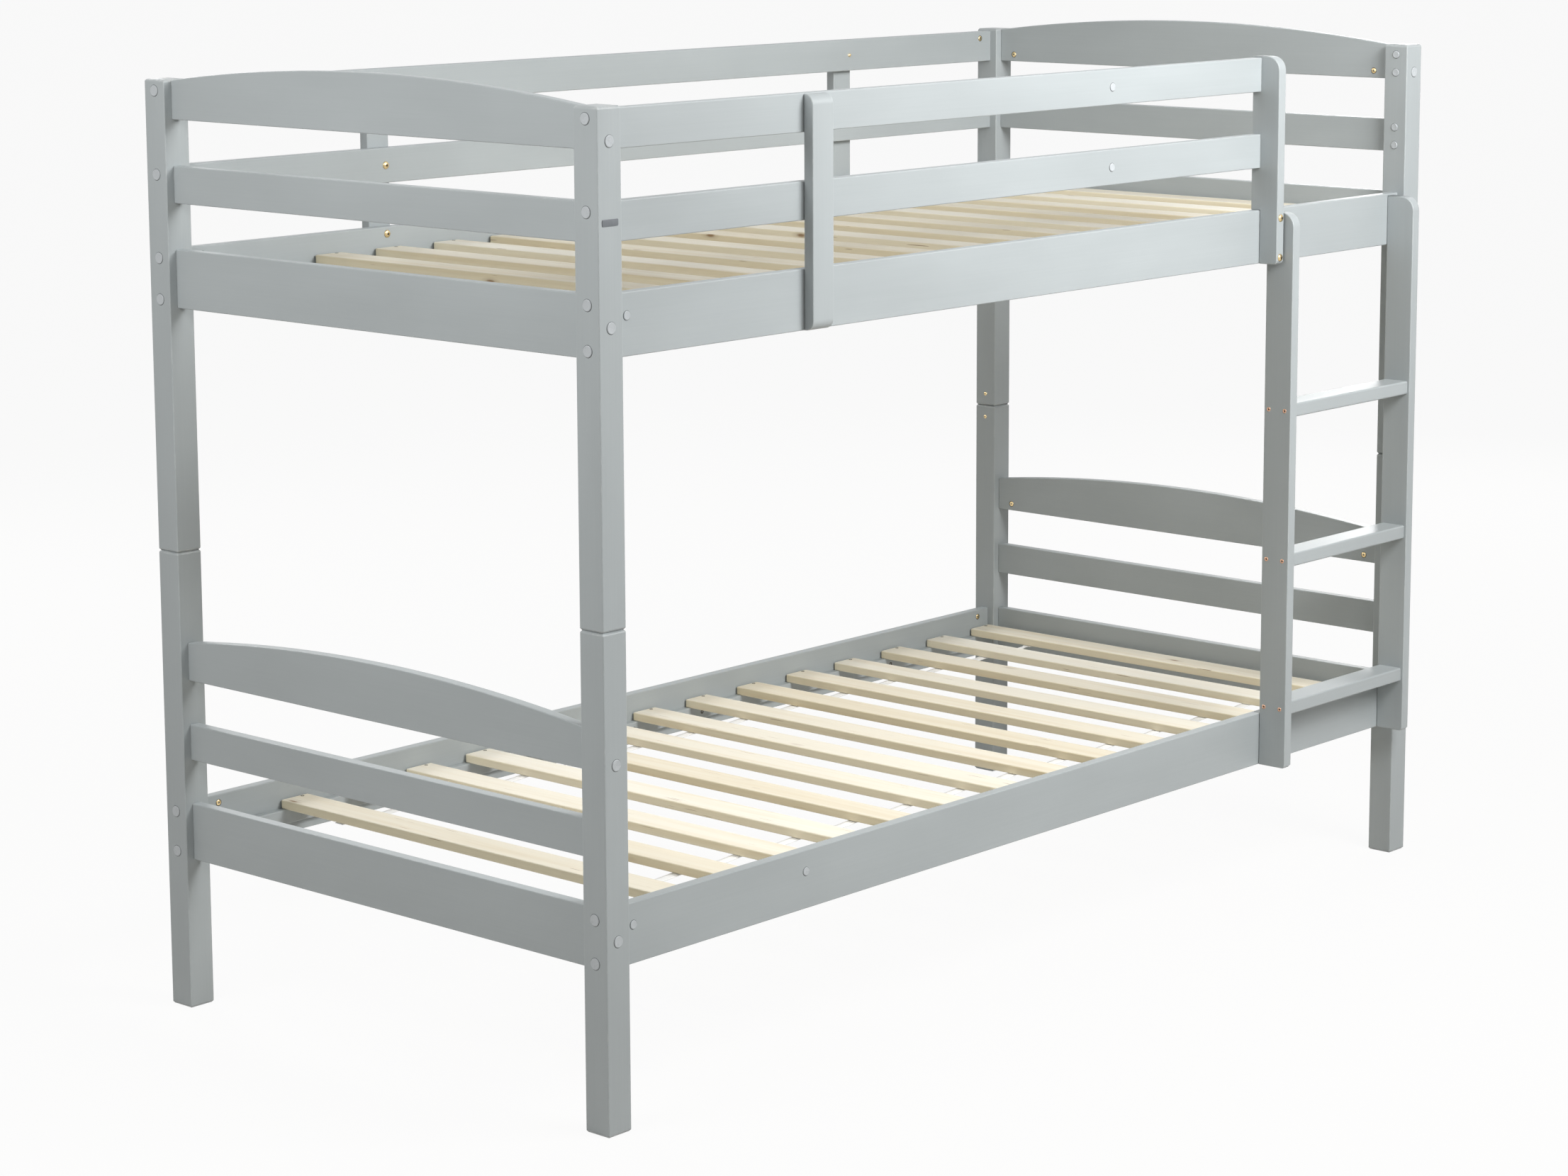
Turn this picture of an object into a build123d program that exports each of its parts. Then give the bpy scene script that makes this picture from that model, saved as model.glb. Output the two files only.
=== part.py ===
from build123d import *
import os

# Bunk bed of painted pine, in millimetres. It stacks two single beds on four steel pins and splits at
# mid height. The upper bed carries guard rails on both long sides and a ladder at the front.
# +X runs along the bed, the ladder side is at -Y and +Z is up. The origin is on the floor, under the
# middle of everything that the bed covers.

# Overall frame
bed_length = 2100.0            # over the posts, along X: a 2000 mm mattress fits between them
bed_width = 988.0              # over the posts, along Y: a 900 mm mattress fits between the rails
lower_post_height = 744.0
upper_post_height = 744.0
post_side = 47.0
post_end_chamfer = 2.8         # all round both ends of a post
post_edge_ease = 2.0

# Rails
rail_thickness = 18.0
deep_rail_height = 92.0        # side rails and the lowest end rails
slim_rail_height = 58.0        # middle end rails and guard rails
arched_rail_end_height = 61.0
arch_rise = 28.5               # top of the arched rail, middle over ends
rail_edge_ease = 1.5
lower_deck_height = 243.5      # underside of the deep rails above the lower bed's feet
upper_deck_height = 387.5      # the same above the split, on the upper bed
lower_rail_gap = 71.5          # between one end rail and the next
upper_rail_gap = 72.25

# Slats, their ledgers and the tapes that hold them apart
ledger_depth = 14.0
ledger_height = 24.0
ledger_top_above_rail_foot = 43.5
ledger_end_gap = 2.0
slat_width = 57.0
slat_thickness = 15.0
slat_edge_ease = 2.0
slat_end_gap = 2.5             # from a slat's end to the side rail
slat_count = 14
lower_first_slat_gap = 161.0   # from the posts at -X to the first slat
upper_first_slat_gap = 262.4
slat_to_foot_post = 0.5        # the last slat lies up against the posts at +X
tape_width = 18.0
tape_thickness = 1.0
tape_gap = 0.2                 # under the slats
back_tape_offset = 318.0       # from the middle line
front_tape_offset = 300.0

# Uprights of the guards and the ladder
guard_upright_width = 47.0
guard_upright_thickness = 18.0
guard_upright_round = 16.0
guard_upright_top_gap = 1.5    # below the guard's top edge
front_upright_from_post = 422.5
back_upright_from_post = 421.0
plank_thickness = 20.0         # end upright and ladder stiles
plank_depth = 55.0
end_upright_gap = 3.2          # to the ladder's left stile
end_upright_top_round = 25.0
end_upright_foot_round = 8.0
end_upright_top_gap = 1.0      # below the post tops
ladder_width = 396.4           # over the stiles
ladder_from_post = 12.4        # from its right stile to the posts at +X
ladder_gap = 0.3               # from the rails' front faces to the stiles
stile_top_below_rail = 3.5     # below the upper side rail's top edge
stile_top_round = 25.0
stile_foot_chamfer = 5.0
rung_count = 3
rung_height = 24.0
rung_depth = 48.0
rung_front_inset = 5.0
rung_edge_ease = 2.0
top_rung_height = 888.5        # its tread above the floor
rung_pitch = 264.0

# Fasteners and their bores are drawn with few faces
fastener_sides = 6
cap_sides = 8
pin_sides = 10

# Bolts with barrel nuts at the corners
bolt_diameter = 6.0
bolt_bore = 7.0
bolt_head_diameter = 13.0
bolt_head_height = 5.0
counterbore_diameter = 15.0
counterbore_depth = 8.0
nut_diameter = 10.0
nut_bore = 10.2
nut_length = 13.5
nut_setback = 32.5             # from the post to the nut's axis
bolt_short_of_nut = 2.0        # its tip, from the nut's far side
cap_diameter = 17.5
cap_height = 1.4
side_bolt_spread = 32.5        # the two bolts of a deep side rail, from its middle line
guard_bolt_rise = 15.5         # above a guard rail's middle line
arched_bolt_rise = 13.0        # above the arched rail's underside

# Dowels, pins and screws
dowel_diameter = 8.0
dowel_bore = 8.2
dowel_length = 30.0
dowel_drop = 16.5              # below a guard rail's middle line
middle_dowel_spread = 16.0     # the two dowels of a middle end rail
pin_diameter = 12.0
pin_length = 100.0
pin_clearance = 0.3
pin_tip_chamfer = 2.0
pin_hole_spare = 6.0           # past the pin's tip in the upper post
pin_screw_diameter = 5.0
pin_screw_head = 9.0
pin_screw_head_height = 1.5
pin_screw_from_split = 23.0
pin_screw_gap = 0.4            # from the screw's tip to the pin
guard_bolt_head = 13.0
guard_bolt_head_height = 3.0
guard_bolt_depth = 14.0        # into the upright behind the rail
guard_bolt_spread = 34.0       # the two in a side rail, from its middle line
ladder_bolt_depth = 38.0
ladder_bolt_rise = 12.5        # above the side rail's middle line

# Small plastic caps and the plain plate
rail_cap_diameter = 13.5
rail_cap_height = 1.0
guard_cap_from_post = 853.0
plate_width = 32.0
plate_height = 10.0
plate_thickness = 0.8
plate_height_on_post = 1325.5

# Levels and planes that follow
post_x = bed_length / 2 - post_side / 2
post_y = bed_width / 2 - post_side / 2
inner_x = bed_length / 2 - post_side
inner_y = bed_width / 2 - post_side
rail_out_x = post_x + rail_thickness / 2
rail_in_x = post_x - rail_thickness / 2
rail_out_y = post_y + rail_thickness / 2
rail_in_y = post_y - rail_thickness / 2
split = lower_post_height
upper_deck = split + upper_deck_height
post_top = split + upper_post_height
reach = nut_setback + nut_diameter / 2 - bolt_short_of_nut
front_reach = rail_out_y + ladder_gap + plank_depth
back_reach = rail_out_y + guard_upright_thickness
front_middle_upright_x = -(inner_x - front_upright_from_post)
back_upright_offset = inner_x - back_upright_from_post
ladder_right_x = inner_x - ladder_from_post - plank_thickness / 2
ladder_left_x = ladder_right_x - ladder_width + plank_thickness
end_upright_x = ladder_left_x - plank_thickness - end_upright_gap
guard_cap_x = inner_x - guard_cap_from_post
to_middle = Pos(0, (front_reach - back_reach) / 2, 0)


def levels(deck, gap):
    # Undersides of an end panel's three rails, from the deep rail upwards.
    middle = deck + deep_rail_height + gap
    return deck, middle, middle + slim_rail_height + gap


lower_levels = levels(lower_deck_height, lower_rail_gap)
upper_levels = levels(upper_deck, upper_rail_gap)
arch_top = arched_rail_end_height + arch_rise
guard_levels = (upper_levels[1], upper_levels[2])
guard_top = upper_levels[2] + slim_rail_height
parts = {}


def board(x, y, z, ease, along):
    # A board between two corners, with its four long edges rounded by ease.
    size = [abs(pair[1] - pair[0]) for pair in (x, y, z)]
    middle = [(pair[0] + pair[1]) / 2 for pair in (x, y, z)]
    solid = Pos(*middle) * Box(*size)
    return chamfer(solid.edges().filter_by(along), ease)


def rod(start, direction, diameter, length, sides=fastener_sides):
    # A small bar or bore that starts on a face and runs inwards, with few sides.
    end = Plane(origin=start, z_dir=direction)
    return extrude(end * RegularPolygon(diameter / 2, sides), length)


def headed(seat, direction, head, head_height, shank, length):
    # A bolt or screw: the head stands outwards from its seat, the shank runs inwards.
    head_end = Vector(*seat) - Vector(*direction) * head_height
    return rod(head_end, direction, head, head_height) + rod(seat, direction, shank, length)


def plank_on_edge(x, outline, rounds):
    # A plank that stands on edge: its outline in Y and Z, with rounded corners, is given its thickness
    # along X. rounds is a list of corners, each with its radius.
    face = make_face(Polyline(*outline, outline[0]))
    for corner, radius in rounds:
        nearest = face.vertices().sort_by_distance((corner[0], corner[1], 0))[0]
        face = fillet(nearest, radius)
    face = Plane.YZ.offset(x - plank_thickness / 2) * face
    return extrude(face, amount=plank_thickness, dir=(1, 0, 0))


def cut(name, tools):
    parts[name] = parts[name] - tools


def keep(name, solids):
    # One node, either a single solid or several separate ones.
    solids = solids if isinstance(solids, list) else [solids]
    parts.setdefault(name, []).extend(solids)


# Posts, four to each bed, with a V groove all round where the beds meet
def post(side_x, side_y, foot, height):
    solid = Pos(side_x * post_x, side_y * post_y, foot + height / 2) * Box(post_side, post_side, height)
    solid = chamfer(solid.edges().filter_by(Axis.Z), post_edge_ease)
    ends = solid.faces().sort_by(Axis.Z)
    return chamfer(ends[0].edges() + ends[-1].edges(), post_end_chamfer)


# End panels: a deep rail, a slim rail and an arched rail between the posts
def arched_rail(side, underside):
    half = inner_y
    shoulder = underside + arched_rail_end_height
    arc = ThreePointArc((-half, shoulder), (0, underside + arch_top), (half, shoulder))
    straight = Polyline((half, shoulder), (half, underside), (-half, underside), (-half, shoulder))
    face = Plane.YZ.offset(side * post_x - rail_thickness / 2) * make_face(arc + straight)
    solid = extrude(face, amount=rail_thickness, dir=(1, 0, 0))
    long_edges = [edge for edge in solid.edges() if edge.bounding_box().size.Y > half]
    return chamfer(long_edges, rail_edge_ease)


def end_rail(side, underside, height):
    x = (side * rail_in_x, side * rail_out_x)
    return board(x, (-inner_y, inner_y), (underside, underside + height), rail_edge_ease, Axis.Y)


def side_rail(side, underside):
    y = (side * rail_in_y, side * rail_out_y)
    return board((-inner_x, inner_x), y, (underside, underside + deep_rail_height), rail_edge_ease, Axis.X)


def ledger(side, deck):
    top = deck + ledger_top_above_rail_foot
    size = (2 * (inner_x - ledger_end_gap), ledger_depth, ledger_height)
    return Pos(0, side * (rail_in_y - ledger_depth / 2), top - ledger_height / 2) * Box(*size)


def slat_places(first_gap):
    # Middles of the slats, evenly spread between the first and the last.
    first = -inner_x + first_gap + slat_width / 2
    last = inner_x - slat_to_foot_post - slat_width / 2
    pitch = (last - first) / (slat_count - 1)
    return [first + pitch * index for index in range(slat_count)]


def slats(deck, first_gap):
    underside = deck + ledger_top_above_rail_foot
    half = rail_in_y - slat_end_gap
    made = []
    for x in slat_places(first_gap):
        spread = (x - slat_width / 2, x + slat_width / 2)
        height = (underside, underside + slat_thickness)
        made.append(board(spread, (-half, half), height, slat_edge_ease, Axis.Y))
    return made


def tapes(deck, first_gap):
    top = deck + ledger_top_above_rail_foot - tape_gap
    places = slat_places(first_gap)
    x = (places[0] - slat_width / 2, places[-1] + slat_width / 2)
    made = []
    for offset in (back_tape_offset, -front_tape_offset):
        y = (offset - tape_width / 2, offset + tape_width / 2)
        size = (x[1] - x[0], tape_width, tape_thickness)
        made.append(Pos((x[0] + x[1]) / 2, (y[0] + y[1]) / 2, top - tape_thickness / 2) * Box(*size))
    return made


corners = {
    "front_left": (-1, -1),
    "front_right": (1, -1),
    "back_left": (-1, 1),
    "back_right": (1, 1),
}
sides = {"left": -1, "right": 1}
fronts = {"front": -1, "back": 1}
beds = {
    "lower": (0, lower_post_height, lower_levels, lower_first_slat_gap),
    "upper": (split, upper_post_height, upper_levels, upper_first_slat_gap),
}

for bed, (foot, height, panel, first_gap) in beds.items():
    for corner, (side_x, side_y) in corners.items():
        parts[f"{bed}_post_{corner}"] = post(side_x, side_y, foot, height)
    for side, sign in sides.items():
        parts[f"{bed}_{side}_deep_rail"] = end_rail(sign, panel[0], deep_rail_height)
        parts[f"{bed}_{side}_middle_rail"] = end_rail(sign, panel[1], slim_rail_height)
        parts[f"{bed}_{side}_arched_rail"] = arched_rail(sign, panel[2])
    for front, sign in fronts.items():
        parts[f"{bed}_{front}_side_rail"] = side_rail(sign, panel[0])
        parts[f"{bed}_{front}_ledger"] = ledger(sign, panel[0])
    keep(f"{bed}_slats", slats(panel[0], first_gap))
    keep(f"{bed}_slat_tapes", tapes(panel[0], first_gap))

# Guard rails: two at the back over the whole length, two at the front up to the end upright
end_upright_start = end_upright_x - plank_thickness / 2
for front, sign in fronts.items():
    stop = inner_x if front == "back" else end_upright_start
    for place, underside in zip(("lower", "upper"), guard_levels):
        y = (sign * rail_in_y, sign * rail_out_y)
        z = (underside, underside + slim_rail_height)
        name = f"{front}_guard_rail_{place}"
        parts[name] = board((-inner_x, stop), y, z, rail_edge_ease, Axis.X)


def guard_upright(x, side):
    # A flat upright on the outside of the rails, its outer top and bottom edges well rounded.
    near = side * rail_out_y
    far = side * (rail_out_y + guard_upright_thickness)
    z = (upper_deck, guard_top - guard_upright_top_gap)
    span = (x - guard_upright_width / 2, x + guard_upright_width / 2)
    size = (guard_upright_width, guard_upright_thickness, z[1] - z[0])
    solid = Pos((span[0] + span[1]) / 2, (near + far) / 2, (z[0] + z[1]) / 2) * Box(*size)
    outer = solid.faces().sort_by(Axis.Y)[0 if side < 0 else -1]
    ends = outer.edges().filter_by(Axis.X)
    solid = fillet(ends, guard_upright_round)
    return solid


parts["front_guard_upright_middle"] = guard_upright(front_middle_upright_x, -1)
parts["back_guard_upright_left"] = guard_upright(-back_upright_offset, 1)
parts["back_guard_upright_right"] = guard_upright(back_upright_offset, 1)


def end_upright():
    # A plank on edge, notched over the side rail: its inner part stands on the rail, its outer part
    # runs down the rail's front.
    inner = -rail_in_y
    outer = -rail_in_y - plank_depth
    shoulder = upper_deck + deep_rail_height
    top = post_top - end_upright_top_gap
    outline = (
        (inner, shoulder),
        (inner, top),
        (outer, top),
        (outer, upper_deck),
        (-rail_out_y, upper_deck),
        (-rail_out_y, shoulder),
    )
    rounds = [(outline[2], end_upright_top_round), (outline[3], end_upright_foot_round)]
    return plank_on_edge(end_upright_x, outline, rounds)


parts["front_guard_upright_end"] = end_upright()

# Ladder: two planks on edge against the side rails, and three rungs between them
stile_inner = -rail_out_y - ladder_gap
stile_outer = stile_inner - plank_depth
stile_top = upper_deck + deep_rail_height - stile_top_below_rail
stile_places = (ladder_left_x, ladder_right_x)


def stile(x):
    foot = lower_deck_height
    outline = (
        (stile_inner, foot),
        (stile_inner, stile_top),
        (stile_outer, stile_top),
        (stile_outer, foot + stile_foot_chamfer),
        (stile_outer + stile_foot_chamfer, foot),
    )
    return plank_on_edge(x, outline, [(outline[2], stile_top_round)])


parts["ladder_stile_left"] = stile(stile_places[0])
parts["ladder_stile_right"] = stile(stile_places[1])
rung_start = stile_places[0] + plank_thickness / 2
rung_stop = stile_places[1] - plank_thickness / 2
rung_front = stile_outer + rung_front_inset
rung_back = rung_front + rung_depth
rung_names = ("top", "middle", "bottom")
for index, name in enumerate(rung_names[:rung_count]):
    tread = top_rung_height - index * rung_pitch
    z = (tread - rung_height, tread)
    y = (rung_front, rung_back)
    parts[f"ladder_rung_{name}"] = board((rung_start, rung_stop), y, z, rung_edge_ease, Axis.X)


# Corner bolts: a countersunk head under a plastic cap, a shank through the post, a barrel nut in the rail
def corner_bolt(bed, post_name, rail_name, face, direction, nut_side, through):
    # face is the point on the outer face, direction the way in, nut_side the way out of the rail's
    # inner face, and through the thickness that the bolt passes before it reaches the rail.
    start = Vector(*face)
    inwards = Vector(*direction)
    inner = Vector(*nut_side)
    rail_end = start + inwards * through
    seat = start + inwards * counterbore_depth
    bore = rod(start, direction, bolt_bore, through)
    bore = bore + rod(start, direction, counterbore_diameter, counterbore_depth)
    cut(post_name, bore)
    nut_face = rail_end + inwards * nut_setback + inner * (rail_thickness / 2)
    rail_bore = rod(rail_end, direction, bolt_bore, nut_setback)
    rail_bore = rail_bore + rod(nut_face, tuple(-inner), nut_bore, nut_length)
    cut(rail_name, rail_bore)
    length = through - counterbore_depth + reach
    keep(f"{bed}_bolts", headed(seat, direction, bolt_head_diameter, bolt_head_height, bolt_diameter, length))
    keep(f"{bed}_barrel_nuts", rod(nut_face, tuple(-inner), nut_diameter, nut_length))
    keep(f"{bed}_plastic_caps", rod(start, tuple(-inwards), cap_diameter, cap_height, cap_sides))


def dowel(bed, first, second, joint, direction):
    # A wooden dowel, half of it on each side of the joint.
    way = Vector(*direction)
    start = Vector(*joint) - way * (dowel_length / 2)
    cut(first, rod(start, direction, dowel_bore, dowel_length / 2))
    if second:
        cut(second, rod(Vector(*joint), direction, dowel_bore, dowel_length / 2))
        keep(f"{bed}_dowels", rod(start, direction, dowel_diameter, dowel_length))


for bed, (foot, height, panel, first_gap) in beds.items():
    for corner, (side_x, side_y) in corners.items():
        post_name = f"{bed}_post_{corner}"
        front = "front" if side_y < 0 else "back"
        side = "left" if side_x < 0 else "right"
        rail_middle = panel[0] + deep_rail_height / 2
        for level in (rail_middle + side_bolt_spread, rail_middle - side_bolt_spread):
            corner_bolt(bed, post_name, f"{bed}_{front}_side_rail",
                        (side_x * bed_length / 2, side_y * post_y, level),
                        (-side_x, 0, 0), (0, -side_y, 0), post_side)
        corner_bolt(bed, post_name, f"{bed}_{side}_deep_rail",
                    (side_x * post_x, side_y * bed_width / 2, rail_middle),
                    (0, -side_y, 0), (-side_x, 0, 0), post_side)
        corner_bolt(bed, post_name, f"{bed}_{side}_arched_rail",
                    (side_x * post_x, side_y * bed_width / 2, panel[2] + arched_bolt_rise),
                    (0, -side_y, 0), (-side_x, 0, 0), post_side)
        for spread in (-middle_dowel_spread, middle_dowel_spread):
            level = panel[1] + slim_rail_height / 2 + spread
            dowel(bed, post_name, f"{bed}_{side}_middle_rail",
                  (side_x * post_x, side_y * inner_y, level), (0, -side_y, 0))

for place, underside in zip(("lower", "upper"), guard_levels):
    bolt_level = underside + slim_rail_height / 2 + guard_bolt_rise
    dowel_level = underside + slim_rail_height / 2 - dowel_drop
    for corner, (side_x, side_y) in corners.items():
        if corner == "front_right":
            continue
        front = "front" if side_y < 0 else "back"
        rail_name = f"{front}_guard_rail_{place}"
        corner_bolt("upper", f"upper_post_{corner}", rail_name,
                    (side_x * bed_length / 2, side_y * post_y, bolt_level),
                    (-side_x, 0, 0), (0, -side_y, 0), post_side)
        dowel("upper", f"upper_post_{corner}", rail_name,
              (side_x * inner_x, side_y * post_y, dowel_level), (-side_x, 0, 0))
    end_face = (end_upright_x + plank_thickness / 2, -post_y, bolt_level)
    corner_bolt("upper", "front_guard_upright_end", f"front_guard_rail_{place}", end_face,
                (-1, 0, 0), (0, 1, 0), plank_thickness)
    # The ladder corner's post has the guards' holes too, under caps, for a guard on the other side.
    for level in (bolt_level, dowel_level):
        joint = (inner_x, -post_y, level)
        cut("upper_post_front_right", rod(joint, (1, 0, 0), dowel_bore, dowel_length / 2))
        cap = rod(joint, (-1, 0, 0), rail_cap_diameter, rail_cap_height, cap_sides)
        keep("upper_plastic_caps", cap)

# Pins between the posts, each held by a screw from inside the bed in either post
def upright_bar(x, y, z, diameter):
    return rod((x, y, z[0]), (0, 0, 1), diameter, z[1] - z[0], pin_sides)


for corner, (side_x, side_y) in corners.items():
    x = side_x * post_x
    y = side_y * post_y
    foot_of_pin = split - pin_length / 2
    pin = upright_bar(x, y, (foot_of_pin, foot_of_pin + pin_length), pin_diameter)
    keep("connecting_pins", chamfer(pin.faces().sort_by(Axis.Z)[-1].edges(), pin_tip_chamfer))
    cut(f"lower_post_{corner}", upright_bar(x, y, (foot_of_pin, split), pin_diameter))
    hole_top = split + pin_length / 2 + pin_hole_spare
    cut(f"upper_post_{corner}", upright_bar(x, y, (split, hole_top), pin_diameter + 2 * pin_clearance))
    for bed, level in (("lower", split - pin_screw_from_split), ("upper", split + pin_screw_from_split)):
        seat = (side_x * inner_x, side_y * post_y, level)
        length = post_side / 2 - pin_diameter / 2 - pin_clearance - pin_screw_gap
        way = (side_x, 0, 0)
        cut(f"{bed}_post_{corner}", rod(seat, way, pin_screw_diameter, length))
        screw = headed(seat, way, pin_screw_head, pin_screw_head_height, pin_screw_diameter, length)
        keep(f"{bed}_pin_screws", screw)


# Brass bolts through the rails into the guard uprights, heads on the inside of the bed
def rail_bolt(x, side, level, rail_name, upright_name):
    seat = (x, side * rail_in_y, level)
    way = (0, side, 0)
    length = rail_thickness + guard_bolt_depth
    bore = rod(seat, way, bolt_diameter, length)
    cut(rail_name, bore)
    cut(upright_name, bore)
    bolt = headed(seat, way, guard_bolt_head, guard_bolt_head_height, bolt_diameter, length)
    keep("guard_bolts", bolt)


upper_rail_middle = upper_deck + deep_rail_height / 2
uprights = (
    ("front_guard_upright_middle", front_middle_upright_x, "front", -1),
    ("back_guard_upright_left", -back_upright_offset, "back", 1),
    ("back_guard_upright_right", back_upright_offset, "back", 1),
)
for upright_name, x, front, sign in uprights:
    for level in (upper_rail_middle - guard_bolt_spread, upper_rail_middle + guard_bolt_spread):
        rail_bolt(x, sign, level, f"upper_{front}_side_rail", upright_name)
    for place, underside in zip(("lower", "upper"), guard_levels):
        rail_bolt(x, sign, underside + slim_rail_height / 2, f"{front}_guard_rail_{place}", upright_name)

# Two brass bolts hold the end upright's outer part to the side rail
for level in (upper_rail_middle - guard_bolt_spread, upper_rail_middle + guard_bolt_spread):
    seat = (end_upright_x, -rail_in_y - plank_depth, level)
    length = plank_depth - rail_thickness + guard_bolt_depth
    bore = rod(seat, (0, 1, 0), bolt_diameter, length)
    cut("front_guard_upright_end", bore)
    cut("upper_front_side_rail", bore)
    bolt = headed(seat, (0, 1, 0), guard_bolt_head, guard_bolt_head_height, bolt_diameter, length)
    keep("guard_bolts", bolt)

# Ladder: one bolt from inside the side rail into each stile
for name, x in zip(("left", "right"), stile_places):
    level = upper_rail_middle + ladder_bolt_rise
    face = (x, -rail_in_y, level)
    seat = (x, -rail_in_y - bolt_head_height, level)
    length = rail_thickness - bolt_head_height + ladder_bolt_depth
    recess = rod(face, (0, -1, 0), counterbore_diameter, bolt_head_height)
    bore = rod(seat, (0, -1, 0), bolt_diameter, length)
    cut("upper_front_side_rail", recess + bore)
    cut(f"ladder_stile_{name}", bore)
    bolt = headed(seat, (0, -1, 0), bolt_head_diameter, bolt_head_height, bolt_diameter, length)
    keep("ladder_bolts", bolt)

# Plastic caps over spare holes, and the plain plate on the near post
def rail_cap(x, level):
    face = (x, -rail_out_y, level)
    return rod(face, (0, -1, 0), rail_cap_diameter, rail_cap_height, cap_sides)


for bed, places in (("lower", (-stile_places[0], -stile_places[1])), ("upper", (-stile_places[1],))):
    for x in places:
        level = beds[bed][2][0] + deep_rail_height / 2 + ladder_bolt_rise
        keep(f"{bed}_plastic_caps", rail_cap(x, level))
for underside in guard_levels:
    level = underside + slim_rail_height / 2
    keep("upper_plastic_caps", rail_cap(guard_cap_x, level))
plate_place = Pos(-post_x, -bed_width / 2 - plate_thickness / 2, plate_height_on_post)
parts["blank_plate"] = plate_place * Box(plate_width, plate_thickness, plate_height)

os.makedirs("parts", exist_ok=True)
for name, shape in parts.items():
    placed = [to_middle * solid for solid in shape] if isinstance(shape, list) else [to_middle * shape]
    export_step(Compound(children=placed) if len(placed) > 1 else placed[0], f"parts/{name}.step")
print("pieces", len(parts))
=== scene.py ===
import math
import bpy
import numpy as np
from mathutils import Matrix, Vector


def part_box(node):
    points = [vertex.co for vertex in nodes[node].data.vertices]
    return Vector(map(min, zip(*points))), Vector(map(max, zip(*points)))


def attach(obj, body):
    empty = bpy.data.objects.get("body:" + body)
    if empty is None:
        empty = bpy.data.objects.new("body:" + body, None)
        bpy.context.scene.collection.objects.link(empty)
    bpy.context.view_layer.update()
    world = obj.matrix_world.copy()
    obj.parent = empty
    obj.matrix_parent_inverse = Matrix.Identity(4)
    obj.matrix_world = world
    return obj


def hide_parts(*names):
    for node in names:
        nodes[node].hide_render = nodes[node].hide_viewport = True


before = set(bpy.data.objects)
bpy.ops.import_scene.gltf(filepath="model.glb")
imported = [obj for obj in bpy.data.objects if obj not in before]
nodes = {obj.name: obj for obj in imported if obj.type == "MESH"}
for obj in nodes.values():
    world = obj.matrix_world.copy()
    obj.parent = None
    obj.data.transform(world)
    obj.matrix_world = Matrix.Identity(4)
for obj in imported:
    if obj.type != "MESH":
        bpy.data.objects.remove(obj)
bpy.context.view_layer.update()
bodyOfNode = {node: "lower_bed" for node in nodes if node.startswith("lower_")}
bodyOfNode["connecting_pins"] = "lower_bed"
scene = bpy.context.scene
print("frame loaded,", len(nodes), "nodes")

# camera, in the photograph's place; distances in metres, the picture in pixels. It looks down at the
# bed with a small shift, so that views from other sides hold the whole bed.
cameraValues = {
    "place": (-4.7370, -4.1401, 1.8471),
    "yaw": 48.700,           # degrees from +Y towards +X
    "pitch": -9.142,
    "roll": -0.129,
    "focalPixels": 5292.0,
    "middle": (1169.5, 630.0),
    "picture": (2212, 1659),
    "sensor": 36.0,
}


def makeCamera(v):
    yaw, pitch, roll = (math.radians(v[key]) for key in ("yaw", "pitch", "roll"))
    ahead = Vector((math.cos(pitch) * math.sin(yaw), math.cos(pitch) * math.cos(yaw), math.sin(pitch)))
    level = Vector((math.cos(yaw), -math.sin(yaw), 0))
    upright = level.cross(ahead)
    right = level * math.cos(roll) + upright * math.sin(roll)
    up = upright * math.cos(roll) - level * math.sin(roll)
    data = bpy.data.cameras.new("photoCamera")
    data.sensor_fit = "HORIZONTAL"
    data.sensor_width = v["sensor"]
    data.lens = v["focalPixels"] / v["picture"][0] * v["sensor"]
    data.shift_x = (v["picture"][0] / 2 - v["middle"][0]) / v["picture"][0]
    data.shift_y = (v["middle"][1] - v["picture"][1] / 2) / v["picture"][0]
    data.clip_end = 500
    camera = bpy.data.objects.new("photoCamera", data)
    turn = Matrix((right, up, -ahead)).transposed()
    camera.matrix_world = Matrix.Translation(v["place"]) @ turn.to_4x4()
    scene.collection.objects.link(camera)
    scene.camera = camera


makeCamera(cameraValues)
print("camera placed")

# finishes; noise scales are per metre, across and along the grain
noiseRange = (0.3, 0.7)          # most of a noise texture's values lie between these
paintLook = {
    "colour": (0.400, 0.434, 0.444),
    "light": (0.465, 0.500, 0.508),
    "wear": (0.72, 0.73, 0.71),
    "streakAcross": 420.0,
    "streakAlong": 5.0,
    "streakRamp": ((0.30, 0.0), (0.72, 1.0)),
    "streakShare": 0.17,
    "mottleAcross": 9.0,
    "mottleAlong": 3.0,
    "mottleShade": (0.92, 1.0),
    "patchScale": 38.0,
    "patchRamp": ((0.50, 0.06), (0.66, 0.40)),
    "roughness": (0.38, 0.48),
    "specular": 0.42,
    "bump": 0.10,
    "bumpHeight": 0.0006,
}
slatLook = {
    "pale": (0.92, 0.88, 0.77),
    "brown": (0.76, 0.64, 0.43),
    "split": (0.30, 0.18, 0.09),
    # painted shade: multiplies the slats' side faces, darker and warmer than the tops
    "side": (0.97, 0.93, 0.82),
    "tone": (0.86, 0.80, 0.68),
    "ringAcross": 55.0,
    "ringAlong": 1.6,
    "ringRamp": ((0.46, 0.0), (0.60, 0.20), (0.78, 0.50)),
    "fineAcross": 900.0,
    "fineAlong": 14.0,
    "fineShade": (0.965, 1.02),
    "knotAcross": 13.0,
    "knotAlong": 4.2,
    "knotRamp": ((0.022, 0.9), (0.05, 0.25), (0.10, 0.0)),
    "splitAcross": 420.0,
    "splitAlong": 11.0,
    "splitRamp": ((0.755, 0.0), (0.775, 0.75)),
    "roughness": 0.62,
    "specular": 0.3,
    "bump": 0.12,
    "bumpHeight": 0.0005,
}
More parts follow.
